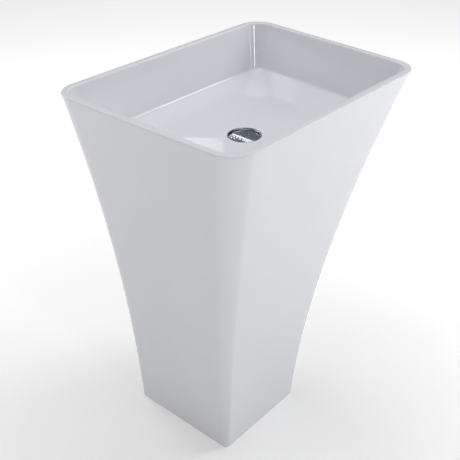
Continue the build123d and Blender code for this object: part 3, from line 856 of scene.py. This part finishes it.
def union_nut(name, bottom, thread_r):
    """A hand-tightened nut with its shoulder at the bottom."""
    top = bottom + NUT_LENGTH
    grip = ribbed(NUT_R, NUT_RIBS, RIB_HEIGHT, 0.34)
    half = ribbed(NUT_R, NUT_RIBS, RIB_HEIGHT * 0.55, 0.30)
    body = softened([
        (TUBE_SOCKET, bottom, 0.0004), (NUT_R, bottom, NUT_EDGE), (NUT_R, bottom + RIB_END - 0.0004, 0)])
    body += [(half, bottom + RIB_END), (grip, bottom + RIB_END + 0.0005)]
    body += [(grip, z) for z in even(bottom + RIB_END + 0.002, top - RIB_END - 0.002, 4)]
    body += [(grip, top - RIB_END - 0.0005), (half, top - RIB_END)]
    body += [(NUT_R, top - RIB_END + 0.0004), (NUT_R, top - NUT_EDGE), (NUT_R - 0.0004, top - 0.0004)]
    body += [(NUT_R - NUT_EDGE, top), (thread_r + 0.0012, top)]
    body += threaded(
        thread_r + 0.0001 + THREAD_DEPTH * 0.7, THREAD_DEPTH * 0.7, TAIL_PITCH, top - 0.001,
        bottom + NUT_SHOULDER + 0.001, 7)
    body += [(thread_r + 0.0001, bottom + NUT_SHOULDER), (TUBE_SOCKET, bottom + NUT_SHOULDER)]
    return turned(name, body, steps=192, angle=30.0)


settle(union_nut("inlet_nut_plastic", INLET_NUT_Z, TAIL_R), "inlet_nut", trap_plastic)
inlet_seal = turned("inlet_seal_rubber", softened([
    (TUBE_R, TAIL_Z - INLET_SEAL, 0.0003), (TUBE_COLLAR_R, TAIL_Z - INLET_SEAL, 0.0003),
    (TUBE_COLLAR_R, TAIL_Z, 0.0003), (TUBE_R, TAIL_Z, 0.0003)]))
settle(inlet_seal, "inlet_seal", rubber)
tube_top = TAIL_Z - INLET_SEAL
dip_tube = turned("dip_tube_plastic", softened([
    (TUBE_BORE, TUBE_END, 0), (TUBE_R - 0.0010, TUBE_END, 0.0002), (TUBE_R, TUBE_END + 0.0030, 0.0004),
    (TUBE_R, tube_top - TUBE_COLLAR, 0.0006), (TUBE_COLLAR_R, tube_top - TUBE_COLLAR, 0.0004),
    (TUBE_COLLAR_R, tube_top, 0.0004), (TUBE_BORE, tube_top, 0.0004)]))
settle(dip_tube, "dip_tube", pipe_plastic)

# The trap's body is one moulding with a threaded neck for the dip tube and a threaded branch for the
# outlet. The mould's parting line runs round its height, front to back.
BODY_R = 0.030
BODY_WALL = 0.003
BODY_Z = (0.566, 0.640)
NECK_R = 0.021
NECK_TOP = 0.656
OUTLET_Z = 0.612
BRANCH_END = 0.056
BRANCH_ROOT = 0.022
PARTING = 0.0002
CUP_RING_TOP = 0.582


def along_y(thing):
    """Turns a form built along +Z so that it points to the wall at the outlet's height."""
    thing.data.transform(Matrix.Translation((0, 0, OUTLET_Z)) @ Matrix.Rotation(math.radians(-90), 4, "X"))
    return thing


def neck(name, start, end):
    """A neck, bored for the tube only after the mouldings are joined, with a thread near its end."""
    thread_start = end - 0.0135
    return turned(name, (
        [(AXIS_R, start), (NECK_R - 0.0001, start), (NECK_R - 0.0001, thread_start - 0.0012)]
        + [(NECK_R - THREAD_DEPTH, thread_start - 0.0004)]
        + threaded(NECK_R, THREAD_DEPTH, TAIL_PITCH, thread_start, end - 0.0012, 7)
        + [(NECK_R - THREAD_DEPTH, end - 0.0004), (NECK_R - THREAD_DEPTH - 0.0003, end), (AXIS_R, end)]))


def seam(radius):
    """A radius with the faint ridge of a mould's parting line at the front and the back."""
    return lambda a: radius - PARTING + PARTING * max(0.0, 1 - abs(math.cos(a)) / 0.02)


body = turned("body", (
    [(AXIS_R, BODY_Z[0]), (seam(BODY_R - 0.0004), BODY_Z[0]), (seam(BODY_R), BODY_Z[0] + 0.0006)]
    + threaded(BODY_R, 0.0006, 0.003, BODY_Z[0] + 0.0010, CUP_RING_TOP, 6)
    + [(seam(BODY_R), z) for z in even(CUP_RING_TOP + 0.0010, BODY_Z[1] - 0.006, 12)]
    + [(seam(BODY_R - 0.006 * (1 - math.cos(a))), BODY_Z[1] - 0.006 + 0.006 * math.sin(a))
       for a in (math.pi / 2 * k / 8 for k in range(1, 9))]
    + [(AXIS_R, BODY_Z[1])]), steps=180)
branch = along_y(neck("branch", BRANCH_ROOT, BRANCH_END))
carve(body, [neck("neck", BODY_Z[1] - 0.004, NECK_TOP), branch], "UNION")
hollow = turned("hollow", softened([
    (AXIS_R, BODY_Z[0] - OVERCUT, 0), (BODY_R - BODY_WALL, BODY_Z[0] - OVERCUT, 0),
    (BODY_R - BODY_WALL, BODY_Z[1] - BODY_WALL, 0.004), (AXIS_R, BODY_Z[1] - BODY_WALL, 0)]))
neck_bore = drill("neck_bore", TUBE_SOCKET, BODY_Z[0], NECK_TOP + OVERCUT)
branch_bore = along_y(drill("branch_bore", TUBE_SOCKET, 0, BRANCH_END + OVERCUT))
carve(body, [hollow, neck_bore, branch_bore])
body.name = "trap_body_plastic"
settle(body, "trap_body", trap_plastic)

# On the neck and on the branch, a tapered rubber ring and a union nut grip the tube that enters.
CONE_SEAL = 0.005
CONE_TAPER = 0.0025


def cone_seal(name, base):
    edge = NECK_R - 0.001
    return turned(name, softened([
        (TUBE_R + 0.0001, base, 0.0003), (edge, base, 0.0004), (edge, base + CONE_SEAL - CONE_TAPER, 0.0008),
        (edge - CONE_TAPER, base + CONE_SEAL, 0.0005), (TUBE_R + 0.0001, base + CONE_SEAL, 0.0002)]))


def clamp_nut(name, neck_end):
    """A union nut turned shoulder first, so that it screws onto a neck that ends at neck_end."""
    nut = union_nut(name, -(neck_end + CONE_SEAL + NUT_SHOULDER), NECK_R)
    nut.data.transform(Matrix.Rotation(math.pi, 4, "X"))
    return nut


settle(cone_seal("tube_seal_rubber", NECK_TOP), "tube_seal", rubber)
settle(clamp_nut("tube_nut_plastic", NECK_TOP), "tube_nut", trap_plastic)
settle(along_y(cone_seal("outlet_seal_rubber", BRANCH_END)), "outlet_seal", rubber)
settle(along_y(clamp_nut("outlet_nut_plastic", BRANCH_END)), "outlet_nut", trap_plastic)

# The cup screws over the body's lower end on a flat rubber ring and comes off by hand for cleaning.
# Sixteen ribs round its grip help the fingers.
CUP_BOTTOM = 0.528
CUP_GRIP_R = 0.0335
CUP_GRIP = 0.022
CUP_RIBS = 16
CUP_RIB_R = 0.0017
TRAP_SEAL = 0.002
seal_z = BODY_Z[0] - TRAP_SEAL
trap_seal = turned("trap_cup_seal_rubber", softened([
    (BODY_R - BODY_WALL + 0.0002, seal_z, 0.0003), (BODY_R - 0.0002, seal_z, 0.0003),
    (BODY_R - 0.0002, BODY_Z[0] - 0.0003, 0.0005),
    (BODY_R - BODY_WALL + 0.0002, BODY_Z[0] - 0.0003, 0.0005)]))
settle(trap_seal, "trap_cup_seal", rubber, "cup_drop")

grip_z = CUP_RING_TOP - CUP_GRIP
grip = ribs(CUP_GRIP_R, CUP_RIBS, CUP_RIB_R)
low_grip = ribs(CUP_GRIP_R - 0.0003, CUP_RIBS, CUP_RIB_R * 0.5)
outside_wall = softened([
    (AXIS_R, CUP_BOTTOM, 0), (BODY_R - 0.004, CUP_BOTTOM, 0.002), (BODY_R, CUP_BOTTOM + 0.010, 0.009),
    (BODY_R, grip_z - 0.0010, 0.0008), (CUP_GRIP_R - 0.0006, grip_z, 0.0006)], steps=8)
inside_wall = softened([
    (BODY_R + 0.00005, CUP_RING_TOP, 0), (BODY_R + 0.00005, seal_z, 0), (BODY_R - BODY_WALL, seal_z, 0),
    (BODY_R - BODY_WALL, CUP_BOTTOM + BODY_WALL, 0.007), (AXIS_R, CUP_BOTTOM + BODY_WALL, 0)], steps=8)
trap_cup = turned("trap_cup_plastic", (
    outside_wall
    + [(CUP_GRIP_R, grip_z + 0.0012), (low_grip, grip_z + 0.0020), (grip, grip_z + 0.0030)]
    + [(grip, z) for z in even(grip_z + 0.005, CUP_RING_TOP - 0.005, 4)]
    + [(grip, CUP_RING_TOP - 0.0030), (low_grip, CUP_RING_TOP - 0.0020), (CUP_GRIP_R, CUP_RING_TOP - 0.0012)]
    + [(CUP_GRIP_R - 0.0004, CUP_RING_TOP - 0.0004), (CUP_GRIP_R - 0.0012, CUP_RING_TOP)]
    + inside_wall), steps=192)
settle(trap_cup, "trap_cup", trap_plastic, "trap_cup")

# The outlet pipe runs level to the wall. A groove shows how far it goes into the nut.
PIPE_START = 0.038
GROOVE_Y = 0.066
GROOVE = (0.0010, 0.0005)
pipe = along_y(turned("outlet_pipe_plastic", softened([
    (TUBE_BORE, PIPE_START, 0.0003), (TUBE_R - 0.0010, PIPE_START, 0.0002),
    (TUBE_R, PIPE_START + 0.0030, 0.0004), (TUBE_R, GROOVE_Y, 0),
    (TUBE_R - GROOVE[1], GROOVE_Y, 0), (TUBE_R - GROOVE[1], GROOVE_Y + GROOVE[0], 0),
    (TUBE_R, GROOVE_Y + GROOVE[0], 0), (TUBE_R, BACK_Y - 0.0020, 0.0003), (TUBE_R - 0.0008, BACK_Y, 0.0002),
    (TUBE_BORE, BACK_Y, 0.0002)])))
settle(pipe, "outlet_pipe", pipe_plastic)

# Stage: a wide sheet of white paper for the floor, lit by a soft studio.
FLOOR_REACH = 14.0
FLOOR_DROP = 0.0004
FLOOR_GLOW = (0.27, 0.58)
GLOW_REACH = (0.35, 1.9)
floor_mesh = bpy.data.meshes.new("studio_floor")
floor_corners = [
    (x * FLOOR_REACH, y * FLOOR_REACH, -FLOOR_DROP) for x, y in ((-1, -1), (1, -1), (1, 1), (-1, 1))]
floor_mesh.from_pydata(floor_corners, [], [(0, 1, 2, 3)])
studio_floor = bpy.data.objects.new("studio_floor", floor_mesh)
bpy.context.scene.collection.objects.link(studio_floor)
studio_paper = mottled(
    "studio_paper", light=(0.86, 0.86, 0.86), dark=(0.85, 0.85, 0.85), grain=3.0,
    rough=(0.8, 0.9), bump=0.00002, bump_grain=300.0)
studio_paper.node_tree.nodes["Principled BSDF"].inputs["Specular IOR Level"].default_value = 0.0
studio_paper.node_tree.nodes["Principled BSDF"].inputs["Emission Color"].default_value = (1.0, 1.0, 1.0, 1.0)
nodes, links = studio_paper.node_tree.nodes, studio_paper.node_tree.links
from_middle = nodes.new("ShaderNodeVectorMath")
from_middle.operation = "LENGTH"
links.new(nodes["Texture Coordinate"].outputs["Object"], from_middle.inputs[0])
glow = nodes.new("ShaderNodeMapRange")
glow.interpolation_type = "SMOOTHSTEP"
glow.inputs["From Min"].default_value = GLOW_REACH[0]
glow.inputs["From Max"].default_value = GLOW_REACH[1]
glow.inputs["To Min"].default_value = FLOOR_GLOW[0]
glow.inputs["To Max"].default_value = FLOOR_GLOW[1]
links.new(from_middle.outputs["Value"], glow.inputs["Value"])
links.new(glow.outputs["Result"], nodes["Principled BSDF"].inputs["Emission Strength"])
studio_floor.data.materials.append(studio_paper)


def softbox(name, place, aim, size, power, mirrored=True):
    """A rectangular lamp at place, turned to shine at aim; polished faces may or may not mirror it."""
    data = bpy.data.lights.new(name, "AREA")
    data.shape = "RECTANGLE"
    data.size, data.size_y = size
    data.energy = power
    lamp = bpy.data.objects.new(name, data)
    lamp.location = place
    lamp.rotation_euler = (Vector(aim) - Vector(place)).to_track_quat("-Z", "Y").to_euler()
    lamp.visible_glossy = mirrored
    bpy.context.scene.collection.objects.link(lamp)
    return lamp


MIDDLE = (0, 0, 0.6)
key_right = softbox("key_right", (2.15, -1.25, 2.50), MIDDLE, (1.5, 1.3), 27.0)
softbox("front_strip", (-0.60, -2.90, 1.88), (0.26, 0.19, 0.85), (0.26, 0.7), 9.0)
softbox("low_right", (2.57, -1.48, 1.02), MIDDLE, (1.6, 1.0), 9.0, mirrored=False)
softbox("behind", (0.0, 2.30, 2.53), MIDDLE, (1.6, 1.6), 16.0)
softbox("high_left", (-1.0, 0.7, 3.3), MIDDLE, (1.6, 1.6), 11.0, mirrored=False)
softbox("overhead", (0.0, 0.0, 3.60), MIDDLE, (1.6, 1.6), 26.0)

# The key lamp is flagged off the waste cup and its cap, which would mirror it as a glare spot.
flagged = bpy.data.collections.new("flagged_from_key")
for polished in (cup, cap):
    flagged.objects.link(polished)
for entry in flagged.collection_objects:
    entry.light_linking.link_state = "EXCLUDE"
key_right.light_linking.receiver_collection = flagged

# A louvred panel high up behind the basin. The polished cap mirrors its bright slats towards a person
# at the basin's front left corner.
PANEL_DISTANCE = 2.5
PANEL_LIGHT = 1.5
SLATS = (
    ((-0.0064, 0.0285), (-0.0056, -0.0300), 0.0034),
    ((-0.0134, 0.0262), (-0.0132, 0.0225), 0.0030),
    ((-0.0134, 0.0182), (-0.0132, 0.0145), 0.0030),
    ((-0.0134, 0.0102), (-0.0132, 0.0065), 0.0030),
    ((-0.0134, 0.0022), (-0.0132, -0.0015), 0.0030),
    ((-0.0130, -0.0060), (-0.0128, -0.0280), 0.0024),
    ((-0.0200, 0.0190), (-0.0198, 0.0160), 0.0026),
    ((-0.0200, 0.0110), (-0.0198, 0.0080), 0.0026))
eye = Vector(CAMERA_PLACE)


def mirrored_at(x, y):
    """The direction in which the cap, at that point of it, mirrors the eye's line of sight."""
    sight = (Vector((x, y, CAP_TOP)) - eye).normalized()
    return Vector((sight.x, sight.y, -sight.z))


panel_axis = mirrored_at(0.0, 0.0)


def thrown(x, y):
    """The point of the panel that shows in the cap at (x, y)."""
    start = Vector((x, y, CAP_TOP))
    way = mirrored_at(x, y)
    return start + way * ((PANEL_DISTANCE - start.dot(panel_axis)) / way.dot(panel_axis))


corners = []
for (ax, ay), (bx, by), width in SLATS:
    across = Vector((by - ay, ax - bx)).normalized() * width / 2
    corners += [thrown(x, y) for x, y in (
        (ax + across.x, ay + across.y), (bx + across.x, by + across.y),
        (bx - across.x, by - across.y), (ax - across.x, ay - across.y))]
panel_mesh = bpy.data.meshes.new("louvre_panel")
panel_mesh.from_pydata(corners, [], [tuple(range(k, k + 4)) for k in range(0, len(corners), 4)])
louvre_panel = bpy.data.objects.new("louvre_panel", panel_mesh)
bpy.context.scene.collection.objects.link(louvre_panel)
panel_glow = mottled(
    "panel_glow", light=(0.9, 0.9, 0.9), dark=(0.85, 0.85, 0.85), grain=3.0,
    rough=(0.5, 0.6), bump=0.00001, bump_grain=50.0)
panel_glow.node_tree.nodes["Principled BSDF"].inputs["Emission Color"].default_value = (0.93, 0.97, 1.0, 1.0)
panel_glow.node_tree.nodes["Principled BSDF"].inputs["Emission Strength"].default_value = PANEL_LIGHT
louvre_panel.data.materials.append(panel_glow)
louvre_panel.visible_camera = False
louvre_panel.visible_diffuse = False

# The room: white where it is looked at directly, a soft even grey as a source of light, and darker high
# up behind the basin and over the front left, where polished metal mirrors it.
ROOM_LIGHT = 0.19
ROOM_TINT = (0.95, 0.97, 1.0)
ZONE_LIGHT = 0.18
ZONE_TINT = (0.72, 0.80, 1.0)
ZONE_EDGE = (0.84, 0.93)
DARK_CORNERS = ((0.685, 0.587, 0.431), (-0.685, -0.587, 0.431))
world = bpy.data.worlds.new("studio")
bpy.context.scene.world = world
world.use_nodes = True
nodes, links = world.node_tree.nodes, world.node_tree.links
paper_white = nodes["Background"]
paper_white.inputs["Color"].default_value = (1.0, 1.0, 1.0, 1.0)
paper_white.inputs["Strength"].default_value = 1.0


def backdrop(colour, strength):
    shade = nodes.new("ShaderNodeBackground")
    shade.inputs["Color"].default_value = (*colour, 1.0)
    shade.inputs["Strength"].default_value = strength
    return shade


def blended(factor, first, second):
    mix = nodes.new("ShaderNodeMixShader")
    links.new(factor, mix.inputs["Fac"])
    links.new(first, mix.inputs[1])
    links.new(second, mix.inputs[2])
    return mix.outputs["Shader"]


direction = nodes.new("ShaderNodeTexCoord")
nearest = nodes.new("ShaderNodeMath")
nearest.operation = "MAXIMUM"
for at, corner in enumerate(DARK_CORNERS):
    towards = nodes.new("ShaderNodeVectorMath")
    towards.operation = "DOT_PRODUCT"
    links.new(direction.outputs["Generated"], towards.inputs[0])
    towards.inputs[1].default_value = corner
    links.new(towards.outputs["Value"], nearest.inputs[at])
shadow_zone = nodes.new("ShaderNodeMapRange")
shadow_zone.inputs["From Min"].default_value = ZONE_EDGE[0]
shadow_zone.inputs["From Max"].default_value = ZONE_EDGE[1]
links.new(nearest.outputs["Value"], shadow_zone.inputs["Value"])
soft_room = backdrop((1.0, 1.0, 1.0), ROOM_LIGHT)
mirrored = blended(
    shadow_zone.outputs["Result"], backdrop(ROOM_TINT, ROOM_LIGHT).outputs["Background"],
    backdrop(ZONE_TINT, ZONE_LIGHT).outputs["Background"])
ray = nodes.new("ShaderNodeLightPath")
indirect = blended(ray.outputs["Is Glossy Ray"], soft_room.outputs["Background"], mirrored)
everything = blended(ray.outputs["Is Camera Ray"], indirect, paper_white.outputs["Background"])
links.new(everything, nodes["World Output"].inputs["Surface"])
bpy.context.scene.view_settings.view_transform = "Standard"
